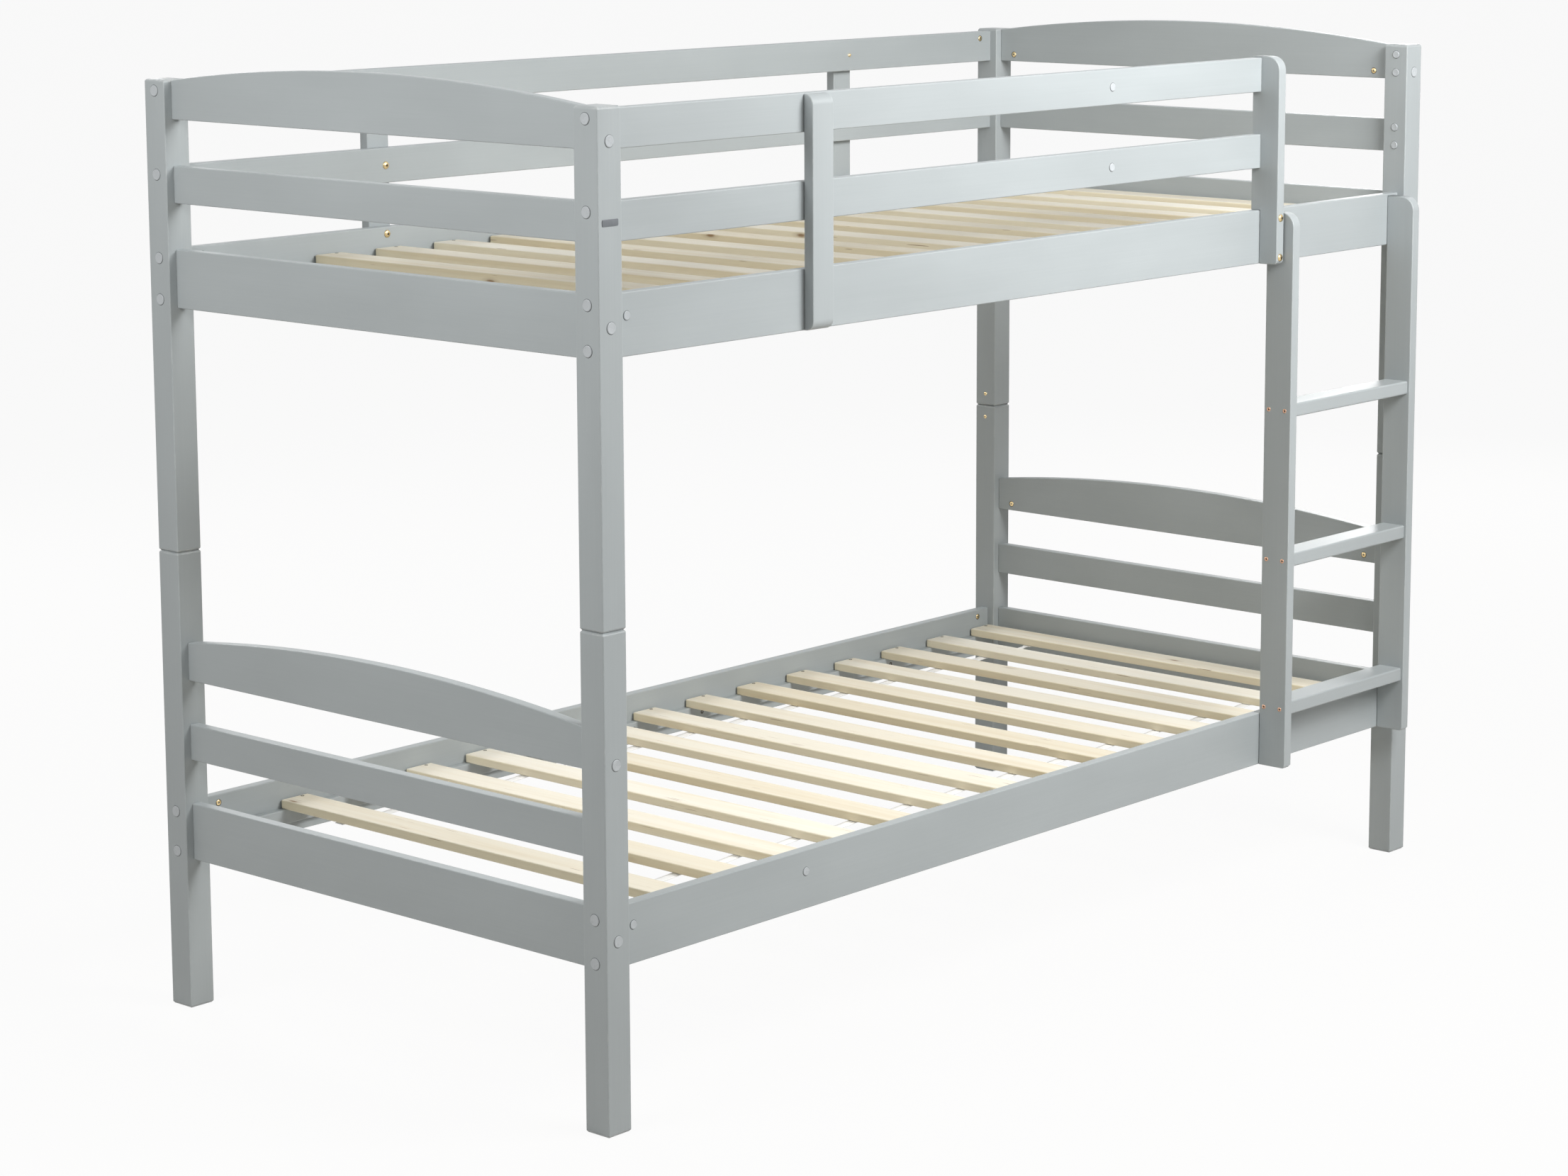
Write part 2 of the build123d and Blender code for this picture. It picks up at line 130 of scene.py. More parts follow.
cloudLook = {"gloss": (0.85, 1.15), "bump": 0.05, "bumpHeight": 0.0004}
tapeLook = {
    "ramp": ((0.1, (0.84, 0.84, 0.83)), (0.9, (0.95, 0.95, 0.94))),
    "weaveScale": 260.0,
    "weaveWaver": 0.4,
    "roughness": 0.85,
    "bump": 0.3,
    "bumpHeight": 0.0003,
}


def nodeTree(name):
    material = bpy.data.materials.new(name)
    material.use_nodes = True
    tree = material.node_tree
    tree.nodes.clear()
    output = tree.nodes.new("ShaderNodeOutputMaterial")
    shader = tree.nodes.new("ShaderNodeBsdfPrincipled")
    tree.links.new(shader.outputs[0], output.inputs[0])
    return material, tree, shader


def mapped(tree, scale, source=None):
    # Object coordinates, or another vector, through a Mapping node.
    mapping = tree.nodes.new("ShaderNodeMapping")
    mapping.inputs["Scale"].default_value = scale
    if source is None:
        source = tree.nodes.new("ShaderNodeTexCoord").outputs["Object"]
    tree.links.new(source, mapping.inputs["Vector"])
    return mapping.outputs[0]


def noise(tree, vector, detail=3.0, roughness=0.5, distortion=0.0):
    # Its scale is left to the vector.
    texture = tree.nodes.new("ShaderNodeTexNoise")
    texture.inputs["Scale"].default_value = 1.0
    texture.inputs["Detail"].default_value = detail
    texture.inputs["Roughness"].default_value = roughness
    texture.inputs["Distortion"].default_value = distortion
    tree.links.new(vector, texture.inputs["Vector"])
    return texture.outputs[0]


def ramp(tree, value, stops):
    # stops: (position, colour or grey) pairs.
    node = tree.nodes.new("ShaderNodeValToRGB")
    line = node.color_ramp
    while len(line.elements) < len(stops):
        line.elements.new(0.5)
    for element, (place, colour) in zip(line.elements, stops):
        element.position = place
        colour = (colour, colour, colour) if isinstance(colour, (int, float)) else colour
        element.color = (*colour, 1)
    tree.links.new(value, node.inputs[0])
    return node.outputs[0]


def noiseRamp(tree, value, low, high):
    # Spreads a noise's usual range from low to high.
    return ramp(tree, value, ((noiseRange[0], low), (noiseRange[1], high)))


def mixColour(tree, share, first, second, kind="MIX"):
    node = tree.nodes.new("ShaderNodeMix")
    node.data_type = "RGBA"
    node.blend_type = kind
    for socket, value in ((node.inputs[0], share), (node.inputs[6], first), (node.inputs[7], second)):
        if isinstance(value, bpy.types.NodeSocket):
            tree.links.new(value, socket)
        elif isinstance(value, (int, float)):
            socket.default_value = value
        else:
            socket.default_value = (*value, 1)
    return node.outputs[2]


def maths(tree, kind, first, second):
    node = tree.nodes.new("ShaderNodeMath")
    node.operation = kind
    for socket, value in zip(node.inputs, (first, second)):
        if isinstance(value, bpy.types.NodeSocket):
            tree.links.new(value, socket)
        else:
            socket.default_value = value
    return node.outputs[0]


def bump(tree, shader, height, strength, distance):
    node = tree.nodes.new("ShaderNodeBump")
    node.inputs["Strength"].default_value = strength
    node.inputs["Distance"].default_value = distance
    tree.links.new(height, node.inputs["Height"])
    tree.links.new(node.outputs[0], shader.inputs["Normal"])


def attribute(tree, name):
    node = tree.nodes.new("ShaderNodeAttribute")
    node.attribute_name = name
    return node.outputs["Fac"]


def grainScale(axis, across, along):
    return tuple(along if index == axis else across for index in range(3))


def paintMaterial(axis, v=paintLook):
    # Satin paint over pine: fine streaks along the board, slow mottling, edges worn a little paler.
    material, tree, shader = nodeTree("paint" + "XYZ"[axis])
    streaks = noise(tree, mapped(tree, grainScale(axis, v["streakAcross"], v["streakAlong"])), detail=4.0)
    mottle = noise(tree, mapped(tree, grainScale(axis, v["mottleAcross"], v["mottleAlong"])), detail=2.0)
    lightShare = maths(tree, "MULTIPLY", ramp(tree, streaks, v["streakRamp"]), v["streakShare"])
    colour = mixColour(tree, lightShare, v["colour"], v["light"])
    colour = mixColour(tree, 1.0, colour, noiseRamp(tree, mottle, *v["mottleShade"]), "MULTIPLY")
    patches = noise(tree, mapped(tree, (v["patchScale"],) * 3), detail=5.0, roughness=0.7)
    worn = maths(tree, "MULTIPLY", attribute(tree, "edge"), ramp(tree, patches, v["patchRamp"]))
    colour = mixColour(tree, worn, colour, v["wear"])
    tree.links.new(colour, shader.inputs["Base Color"])
    tree.links.new(noiseRamp(tree, mottle, *v["roughness"]), shader.inputs["Roughness"])
    shader.inputs["Specular IOR Level"].default_value = v["specular"]
    bump(tree, shader, streaks, v["bump"], v["bumpHeight"])
    return material


def slatMaterial(v=slatLook):
    # Bare pine: slow rings stretched along the slat, fine fibres, darker splits and a few knots. Each
    # slat's grainShift moves its grain, its slatTone darkens it, and its side faces are darker and warmer
    # than its top, as painted shade.
    material, tree, shader = nodeTree("slatPine")
    grainShift = tree.nodes.new("ShaderNodeCombineXYZ")
    for index in (1, 2):
        tree.links.new(attribute(tree, "grainShift"), grainShift.inputs[index])
    shifted = tree.nodes.new("ShaderNodeVectorMath")
    shifted.operation = "ADD"
    tree.links.new(tree.nodes.new("ShaderNodeTexCoord").outputs["Object"], shifted.inputs[0])
    tree.links.new(grainShift.outputs[0], shifted.inputs[1])

    def alongSlat(across, along):
        return mapped(tree, grainScale(1, v[across], v[along]), shifted.outputs[0])

    rings = noise(tree, alongSlat("ringAcross", "ringAlong"), roughness=0.55, distortion=0.35)
    fibres = noise(tree, alongSlat("fineAcross", "fineAlong"))
    splits = noise(tree, alongSlat("splitAcross", "splitAlong"), detail=1.0)
    knots = tree.nodes.new("ShaderNodeTexVoronoi")
    knots.inputs["Scale"].default_value = 1.0
    tree.links.new(alongSlat("knotAcross", "knotAlong"), knots.inputs["Vector"])
    colour = mixColour(tree, ramp(tree, rings, v["ringRamp"]), v["pale"], v["brown"])
    colour = mixColour(tree, 1.0, colour, noiseRamp(tree, fibres, *v["fineShade"]), "MULTIPLY")
    colour = mixColour(tree, ramp(tree, knots.outputs["Distance"], v["knotRamp"]), colour, v["split"])
    colour = mixColour(tree, ramp(tree, splits, v["splitRamp"]), colour, v["split"])
    # painted shade on the side faces
    colour = mixColour(tree, attribute(tree, "sideShade"), colour, v["side"], "MULTIPLY")
    colour = mixColour(tree, attribute(tree, "slatTone"), colour, v["tone"], "MULTIPLY")
    tree.links.new(colour, shader.inputs["Base Color"])
    shader.inputs["Roughness"].default_value = v["roughness"]
    shader.inputs["Specular IOR Level"].default_value = v["specular"]
    bump(tree, shader, fibres, v["bump"], v["bumpHeight"])
    return material


def plainMaterial(name, colour, roughness, metal=0.0, speckle=60.0, spread=0.10, v=cloudLook):
    # One colour with a slow cloudiness in tone and gloss.
    material, tree, shader = nodeTree(name)
    cloud = noise(tree, mapped(tree, (speckle,) * 3), detail=4.0)
    shaded = mixColour(tree, 1.0, colour, noiseRamp(tree, cloud, 1 - spread, 1.0), "MULTIPLY")
    tree.links.new(shaded, shader.inputs["Base Color"])
    gloss = noiseRamp(tree, cloud, *(roughness * share for share in v["gloss"]))
    tree.links.new(gloss, shader.inputs["Roughness"])
    shader.inputs["Metallic"].default_value = metal
    bump(tree, shader, cloud, v["bump"], v["bumpHeight"])
    return material


def tapeMaterial(v=tapeLook):
    # Woven tape: two crossed fine waves on the ribbon's own UV map.
    material, tree, shader = nodeTree("wovenTape")
    uv = tree.nodes.new("ShaderNodeUVMap").outputs[0]
    weave = []
    for direction in ("X", "Y"):
        wave = tree.nodes.new("ShaderNodeTexWave")
        wave.bands_direction = direction
        wave.inputs["Scale"].default_value = v["weaveScale"]
        wave.inputs["Distortion"].default_value = v["weaveWaver"]
        tree.links.new(uv, wave.inputs["Vector"])
        weave.append(wave.outputs["Fac"])
    cloth = maths(tree, "MAXIMUM", weave[0], weave[1])
    tree.links.new(ramp(tree, cloth, v["ramp"]), shader.inputs["Base Color"])
    shader.inputs["Roughness"].default_value = v["roughness"]
    bump(tree, shader, cloth, v["bump"], v["bumpHeight"])
    return material


paint = [paintMaterial(axis) for axis in range(3)]
slatPine = slatMaterial()
capGrey = plainMaterial("capGrey", (0.485, 0.515, 0.535), roughness=0.28, spread=0.05)
capShadow = plainMaterial("capShadow", (0.10, 0.11, 0.11), roughness=0.7)
brass = plainMaterial("brass", (0.80, 0.62, 0.34), roughness=0.26, metal=1.0, speckle=220.0)
copperScrew = plainMaterial("copperScrew", (0.72, 0.42, 0.28), roughness=0.32, metal=1.0, speckle=220.0)
# near-black: painted shade in the sockets; on the slat and ledger screws partly their own dark colour, partly
# painted shade in their holes
darkScrewsAndSocketShade = plainMaterial("darkScrewsAndSocketShade", (0.06, 0.045, 0.03), roughness=0.5, metal=0.6)
zinc = plainMaterial("zinc", (0.66, 0.66, 0.66), roughness=0.34, metal=1.0, speckle=180.0)
beech = plainMaterial("beech", (0.66, 0.48, 0.30), roughness=0.6, speckle=90.0, spread=0.25)
plateDark = plainMaterial("plateDark", (0.155, 0.170, 0.185), roughness=0.42, speckle=140.0)
tapeCloth = tapeMaterial()
print("finishes made")


# meshes
def addPiece(name, points, faces, body, material, attributes=None):
    # Puts an array of points (n, 3) in metres and face tuples into an object at the origin.
    mesh = bpy.data.meshes.new(name)
    mesh.from_pydata(points.tolist(), [], faces)
    for key, values in (attributes or {}).items():
        layer = mesh.attributes.new(key, "FLOAT", "POINT")
        layer.data.foreach_set("value", np.asarray(values, np.float32))
    mesh.materials.append(material)
    mesh.validate()
    mesh.update()
    mesh.polygons.foreach_set("use_smooth", np.ones(len(mesh.polygons), bool))
    piece = bpy.data.objects.new(name, mesh)
    scene.collection.objects.link(piece)
    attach(piece, body)
    return piece


faceWeight = 60


def weighted(piece):
    # Broad faces keep their own shading beside rounded edges.
    modifier = piece.modifiers.new("weightedNormals", "WEIGHTED_NORMAL")
    modifier.weight = faceWeight


def bodyOf(node):
    return bodyOfNode.get(node, "upper_bed")


def ringFaces(rings, columns):
    # Quads between neighbouring rings of a closed profile, and a polygon over each end.
    row = np.arange(columns)
    after = (row + 1) % columns
    faces = []
    for ring in range(rings - 1):
        base = ring * columns
        quad = np.stack((base + row, base + after, base + columns + after, base + columns + row), 1)
        faces += [tuple(q) for q in quad.tolist()]
    faces.append(tuple((row[::-1]).tolist()))
    faces.append(tuple(((rings - 1) * columns + row).tolist()))
    return faces


boardValues = {
    "round": 0.0018,
    "end": 0.0006,
    "endWear": 0.0015,           # length of the worn stretch beside each end
    "edgeWear": 0.45,
    "steps": 4,
    "archPlaces": 49,
    "postRound": 0.002,
    "postEnd": 0.0028,
    "rungRound": 0.003,
    "rungEnd": 0.0,
}


def boardSurface(low, high, axis, edgeRound, end, topLine=None, v=boardValues):
    # A rounded rectangle carried along one axis. Its corner circle centres lie edgeRound inside the
    # sides; at each end the whole outline shrinks by end over the same length. topLine, if given, is
    # the top's height for each place along the axis.
    low, high = np.array((low, high), float)
    across, upward = [index for index in range(3) if index != axis]
    turn = np.linspace(0, math.pi / 2, v["steps"] + 1)
    angles = np.concatenate([turn + quarter * math.pi / 2 for quarter in range(4)])
    signs = np.repeat(np.array([[1, 1], [-1, 1], [-1, -1], [1, -1]]), v["steps"] + 1, axis=0)
    start = low[axis] + end
    stop = high[axis] - end
    count = 2 if topLine is None else v["archPlaces"]
    between = np.linspace(start + v["endWear"], stop - v["endWear"], count)
    along = np.concatenate(([low[axis], start], between, [stop, high[axis]]))
    shrink = np.zeros(len(along))
    shrink[[0, -1]] = end
    radius = (edgeRound - np.minimum(shrink, edgeRound))[:, None]
    inset = (edgeRound + np.maximum(shrink - edgeRound, 0))[:, None]
    top = (np.full(len(along), high[upward]) if topLine is None else topLine(along))[:, None]
    halfAcross = (high[across] - low[across]) / 2 - inset
    halfUp = (top - low[upward]) / 2 - inset
    points = np.zeros((len(along), len(angles), 3))
    points[:, :, axis] = along[:, None]
    middleAcross = (low[across] + high[across]) / 2
    points[:, :, across] = middleAcross + signs[:, 0] * halfAcross + radius * np.cos(angles)
    points[:, :, upward] = (top + low[upward]) / 2 + signs[:, 1] * halfUp + radius * np.sin(angles)
    endWear = np.zeros(len(along))
    endWear[[0, 1, -2, -1]] = 1.0
    wear = np.maximum(np.tile(np.sin(turn * 2), 4) * v["edgeWear"], endWear[:, None])
    faces = ringFaces(len(along), len(angles))
    if axis == 1:
        faces = [face[::-1] for face in faces]
    return points.reshape(-1, 3), faces, wear.reshape(-1)


def board(node, edgeRound=boardValues["round"], end=boardValues["end"], topLine=None):
    low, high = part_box(node)
    axis = int(np.argmax(np.subtract(high, low)))
    points, faces, wear = boardSurface(low, high, axis, edgeRound, end, topLine)
    piece = addPiece(node + "_board", points, faces, bodyOf(node), paint[axis],
                     {"edge": wear})
    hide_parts(node)
    weighted(piece)


for node in nodes:
    if "_post_" in node:
        board(node, boardValues["postRound"], boardValues["postEnd"])
    elif node.endswith(("_deep_rail", "_middle_rail", "_side_rail", "_ledger")) or "_guard_rail_" in node:
        board(node)
    elif "_rung_" in node:
        board(node, boardValues["rungRound"], boardValues["rungEnd"])
print("posts, rails and rungs made")

archValues = {"endHeight": 0.061}


def archedTop(node):
    # A circular arc through the rail's two shoulders and its highest point.
    low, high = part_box(node)
    half = (high[1] - low[1]) / 2
    rise = high[2] - low[2] - archValues["endHeight"]
    radius = (half ** 2 + rise ** 2) / (2 * rise)
    middle = (low[1] + high[1]) / 2
    return lambda y: high[2] - radius + np.sqrt(radius ** 2 - (np.clip(y - middle, -half, half)) ** 2)


for bed in ("lower", "upper"):
    for side in ("left", "right"):
        node = f"{bed}_{side}_arched_rail"
        board(node, topLine=archedTop(node))
print("arched rails made")

plankValues = {
    "uprightRound": 0.016,
    "endTop": 0.025,
    "endFoot": 0.008,
    "stileTop": 0.025,
    "stileFoot": 0.005,
    "steps": 8,
    "ease": 0.0018,
    "easeSteps": 3,
    "easeWear": 0.5,
}


def roundedOutline(corners, steps):
    # A closed outline whose corners are (u, v, radius): each radius becomes an arc that touches both
    # neighbouring sides, and no radius leaves the corner sharp.
    corners = np.array(corners, float)
    outline = []
    for index, (u, v, radius) in enumerate(corners):
        here = np.array((u, v))
        if radius <= 0:
            outline.append(here)
            continue
        back = corners[index - 1, :2] - here
        ahead = corners[(index + 1) % len(corners), :2] - here
        back /= np.linalg.norm(back)
        ahead /= np.linalg.norm(ahead)
        half = math.acos(np.clip(back @ ahead, -1, 1)) / 2
        centre = here + (back + ahead) / np.linalg.norm(back + ahead) * radius / math.sin(half)
        first = here + back * radius / math.tan(half) - centre
        last = here + ahead * radius / math.tan(half) - centre
        share = np.linspace(0, 1, steps + 1)[:, None]
        spread = math.pi - 2 * half
        arc = (np.sin((1 - share) * spread) * first + np.sin(share * spread) * last) / math.sin(spread)
        outline.extend(centre + arc)
    return np.array(outline)


def plankSurface(outline, thickness, axis, ease, v=plankValues):
    # The outline stands between two faces along an axis; at each face it is drawn in by a quarter
    # circle of radius ease, moved along its mitred corner normals.
    after = np.roll(outline, -1, 0) - outline
    before = outline - np.roll(outline, 1, 0)
    normals = []
    for side in (before, after):
        side = side / np.linalg.norm(side, axis=1)[:, None]
        normals.append(np.stack((side[:, 1], -side[:, 0]), 1))
    mitre = normals[0] + normals[1]
    mitre = mitre / np.sum(mitre * normals[0], axis=1)[:, None]
    area = np.sum(outline[:, 0] * np.roll(outline[:, 1], -1) - np.roll(outline[:, 0], -1) * outline[:, 1])
    mitre = mitre * np.sign(area)
    turn = np.linspace(0, math.pi / 2, v["easeSteps"] + 1)
    inset = ease * (1 - np.sin(turn))
    depth = ease * (1 - np.cos(turn))
    inset = np.concatenate((inset, inset[::-1]))
    along = np.concatenate((thickness[0] + depth, thickness[1] - depth[::-1]))
    flat = outline[None, :, :] - inset[:, None, None] * mitre[None, :, :]
    others = [index for index in range(3) if index != axis]
    points = np.zeros((len(along), len(outline), 3))
    points[:, :, axis] = along[:, None]
    points[:, :, others[0]] = flat[:, :, 0]
    points[:, :, others[1]] = flat[:, :, 1]
    easeWear = np.sin(np.concatenate((turn, turn[::-1])) * 2) * v["easeWear"]
    wear = np.repeat(easeWear[:, None], len(outline), 1)
    faces = ringFaces(len(along), len(outline))
    if (area < 0) != (axis == 1):
        faces = [face[::-1] for face in faces]
    return points.reshape(-1, 3), faces, wear.reshape(-1)


def plank(node, corners):
    # An upright board whose outline in Y and Z is given, with its grain along Z.
    low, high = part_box(node)
    outline = roundedOutline(corners, plankValues["steps"])
    points, faces, wear = plankSurface(outline, (low[0], high[0]), 0, plankValues["ease"])
    piece = addPiece(node + "_plank", points, faces, bodyOf(node), paint[2], {"edge": wear})
    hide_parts(node)
    weighted(piece)


def guardUpright(node):
    # Square against the rails, both outer corners well rounded.
    low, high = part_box(node)
    inner, outer = (low[1], high[1]) if low[1] > 0 else (high[1], low[1])
    big = plankValues["uprightRound"]
    plank(node, ((inner, low[2], 0), (outer, low[2], big), (outer, high[2], big), (inner, high[2], 0)))


for node in ("front_guard_upright_middle", "back_guard_upright_left", "back_guard_upright_right"):
    guardUpright(node)

endLow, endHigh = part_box("front_guard_upright_end")
railLow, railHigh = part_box("upper_front_side_rail")
plank("front_guard_upright_end", (
    (endHigh[1], railHigh[2], 0),
    (endHigh[1], endHigh[2], 0),
    (endLow[1], endHigh[2], plankValues["endTop"]),
    (endLow[1], endLow[2], plankValues["endFoot"]),
    (railLow[1], endLow[2], 0),
    (railLow[1], railHigh[2], 0),
))
for side in ("left", "right"):
    node = f"ladder_stile_{side}"
    low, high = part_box(node)
    foot = plankValues["stileFoot"]
    plank(node, (
        (high[1], low[2], 0),
        (high[1], high[2], 0),
        (low[1], high[2], plankValues["stileTop"]),
        (low[1], low[2] + foot, 0),
        (low[1] + foot, low[2], 0),
    ))
print("uprights and ladder stiles made")

slatValues = {
    "round": 0.0024,
    "end": 0.0012,
    "seed": 7,
    "toneSpread": 0.6,
    "grainSpread": 50,
    "sideShadeFrom": 0.95,            # share of the half width, from where on a side face gets painted shade
    "sideShadeWithin": 0.04,
}


def solidsOf(node):
    # Lowest and highest corner of each separate solid in a CAD node: triangles that share a corner
    # pass on the smallest label until nothing changes.
    mesh = nodes[node].data
    mesh.calc_loop_triangles()
    points = np.empty(len(mesh.vertices) * 3, np.float32)
    mesh.vertices.foreach_get("co", points)
    corners = np.empty(len(mesh.loop_triangles) * 3, np.int32)
    mesh.loop_triangles.foreach_get("vertices", corners)
    places, index = np.unique(np.round(points.reshape(-1, 3), 5), axis=0, return_inverse=True)
    index = index.reshape(-1)
    triangles = index[corners].reshape(-1, 3)
    labels = np.arange(len(places))
    while True:
        fresh = labels.copy()
        np.minimum.at(fresh, triangles.ravel(), np.repeat(labels[triangles].min(1), 3))
        if (fresh == labels).all():
            break
        labels = fresh
    return [(places[labels == key].min(0), places[labels == key].max(0)) for key in np.unique(labels)]


def joined(parts):
    # Several (points, faces, attributes) as one.
    points = np.concatenate([part[0] for part in parts])
    faces = []
    start = 0
    for part in parts:
        faces += [tuple(corner + start for corner in face) for face in part[1]]
        start += len(part[0])
    keys = parts[0][2].keys()
    return points, faces, {key: np.concatenate([part[2][key] for part in parts]) for key in keys}


slatRandom = np.random.default_rng(slatValues["seed"])
for bed in ("lower", "upper"):
    node = f"{bed}_slats"
    parts = []
    v = slatValues
    for low, high in solidsOf(node):
        points, faces, wear = boardSurface(low, high, 1, v["round"], v["end"])
        tone = np.full(len(points), slatRandom.uniform(0, v["toneSpread"]))
        shift = np.full(len(points), slatRandom.uniform(0, v["grainSpread"]))
        # the side faces of each slat are marked for painted shade
        fromMiddle = np.abs(points[:, 0] - (low[0] + high[0]) / 2) / (high[0] - low[0]) * 2
        side = np.clip((fromMiddle - v["sideShadeFrom"]) / v["sideShadeWithin"], 0, 1)
        parts.append((points, faces, {"slatTone": tone, "grainShift": shift, "sideShade": side}))
    points, faces, values = joined(parts)
    piece = addPiece(f"{bed}_deck_slats", points, faces, bodyOf(node), slatPine, values)
    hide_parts(node)
    weighted(piece)
print("slats made")


# caps, heads and screws, turned from a profile
roundSides = 24
hexSides = 6


def turned(profile, seat, way, sides=roundSides):
    # A profile of (radius, height) pairs turned about the line through seat along way.
    profile = np.array(profile, float)
    way = np.array(Vector(way).normalized())
    helper = np.array((0, 0, 1.0)) if abs(way[2]) < 0.9 else np.array((1.0, 0, 0))
    first = np.cross(way, helper)
    first /= np.linalg.norm(first)
    second = np.cross(way, first)
    angles = np.arange(sides) * 2 * math.pi / sides
    spokes = np.cos(angles)[:, None] * first + np.sin(angles)[:, None] * second
    points = np.array(seat) + profile[:, None, 1:2] * way + profile[:, None, 0:1] * spokes[None, :, :]
    return points.reshape(-1, 3), ringFaces(len(profile), sides), {}


def addTurned(name, parts, body, material):
    points, faces, values = joined(parts)
    return addPiece(name, points, faces, body, material, values)


capValues = {
    "height": 0.0013,
    "rim": 0.0011,
    "rimSteps": 5,
    "lip": 0.0024,
    "lipDish": 0.00022,
    "middle": 0.4,               # share of the radius
    "middleDish": 0.000286,
    "centre": 0.0008,
    "centreDish": 0.000308,
    "shadowOut": 0.0006,
    "shadowIn": 0.0004,
    "shadowSink": 0.0002,
    "shadowProud": 0.00012,
}


def capProfile(radius, v=capValues):
    # Low button: a quarter-round rim and a lip round a slightly dished top.
    profile = [(radius, 0.0)]
    for a in np.linspace(0, math.pi / 2, v["rimSteps"]):
        profile.append((radius - v["rim"] * (1 - math.cos(a)), v["height"] - v["rim"] * (1 - math.sin(a))))
    profile.append((radius - v["lip"], v["height"] - v["lipDish"]))
    profile.append((radius * v["middle"], v["height"] - v["middleDish"]))
    profile.append((v["centre"], v["height"] - v["centreDish"]))
    return profile


def shadowRing(radius, out, within, sink, proud):
    # A thin dark ring of painted shadow round a button or in a bore.
    return (radius + out, -sink), (radius + out, proud), (radius - within, proud)


def capsOf(node, v=capValues):
    # A cap on a post's inner end face looks towards the bed's middle.
    postMiddle = np.mean([corner[0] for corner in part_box("upper_post_front_right")])
    caps = []
    rings = []
    for low, high in solidsOf(node):
        size = high - low
        axis = int(np.argmin(size))
        middle = (low + high) / 2
        outward = np.zeros(3)
        outward[axis] = np.sign(middle[axis])
        if axis == 0:
            outward[0] *= np.sign(abs(middle[0]) - postMiddle)
        radius = np.delete(size, axis).max() / 2
        seat = middle.copy()
        seat[axis] = low[axis] if outward[axis] > 0 else high[axis]
        caps.append(turned(capProfile(radius), seat, outward))
        # Each button gets a ring of painted shadow round its foot.
        ring = shadowRing(radius, v["shadowOut"], v["shadowIn"], v["shadowSink"], v["shadowProud"])
        rings.append(turned(ring, seat, outward))
    piece = addTurned(node + "_buttons", caps, bodyOf(node), capGrey)
    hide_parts(node)
    addTurned(node + "_shadow_rings", rings, bodyOf(node), capShadow)


for bed in ("lower", "upper"):
    capsOf(f"{bed}_plastic_caps")

domeValues = {"steps": 7, "fullness": 0.7, "flat": 0.25, "tip": 0.6, "tipLength": 0.001}
socketValues = {"proud": 0.00006, "foot": 0.98}
boltValues = {
    "radius": 0.0065,
    "height": 0.003,
    "shank": 0.003,
    "socket": 0.0045,
    "socketFoot": 0.001,
    "uprightReach": 0.01,        # a bolt this near the end upright's middle has its head outside
}
pinScrewValues = {
    "radius": 0.0036,
    "height": 0.0012,
    "frameHeight": 0.0015,       # of its head in the frame
    "shank": 0.0022,
    "socket": 0.0030,
    "socketFoot": 0.0006,
}


def domeHead(seat, way, depth, v, dome=domeValues):
    # From the shank's tip, depth below the seat, out over the seat and up a low dome to a small flat.
    profile = [(v["shank"] * dome["tip"], -depth), (v["shank"], dome["tipLength"] - depth), (v["shank"], 0.0)]
    for a in np.linspace(0, math.pi / 2, dome["steps"])[:-1]:
        profile.append((v["radius"] * math.cos(a) ** dome["fullness"], v["height"] * math.sin(a)))
    profile.append((v["radius"] * dome["flat"], v["height"]))
    return turned(profile, seat, way)


def hexSocket(seat, way, v, well=socketValues):
    # A hexagonal well drawn as a six-sided prism of painted shade that ends just over the dome's flat.
    radius = v["socket"] / 2
    foot = v["socketFoot"]
    profile = ((radius, v["height"] + well["proud"]), (radius, foot), (radius * well["foot"], foot))
    return turned(profile, seat, way, hexSides)


def addHeads(node, seats, v):
    # seats holds a (seat, way, depth) for each bolt or screw of the node.
    heads = [domeHead(seat, way, depth, v) for seat, way, depth in seats]
    sockets = [hexSocket(seat, way, v) for seat, way, depth in seats]
    piece = addTurned(node + "_heads", heads, bodyOf(node), brass)
    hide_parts(node)
    # the sockets are painted shade
    addTurned(node + "_sockets", sockets, bodyOf(node), darkScrewsAndSocketShade)


def guardBolts(node, v=boltValues):
    # A bolt's head is at its end nearer the bed's middle, or outside on the end upright.
    seats = []
    for low, high in solidsOf(node):
        middle = (low + high) / 2
        axis = int(np.argmax(high - low))
        length = high[axis] - low[axis]
        outside = abs(middle[0] - (endLow[0] + endHigh[0]) / 2) < v["uprightReach"]
        inwards = np.zeros(3)
        inwards[axis] = -np.sign(middle[axis]) * (-1 if outside else 1)
        seats.append((middle + inwards * (length / 2 - v["height"]), inwards, length - v["height"]))
    addHeads(node, seats, v)


guardBolts("guard_bolts")
print("caps and bolt heads made")

nutValues = {
    "radius": 0.005,
    "proud": 0.0002,
    "dome": 0.0006,
    "flat": 0.7,                 # share of the radius
    "centre": 0.0002,
    "shadowOut": 0.0008,
    "shadowIn": 0.0003,
    "shadowSink": 0.0004,
    "shadowProud": 0.0001,
    "slot": 0.0016,
    "slotCentre": 0.0004,
    "slotSink": 0.0003,
    "slotProud": 0.0001,
}


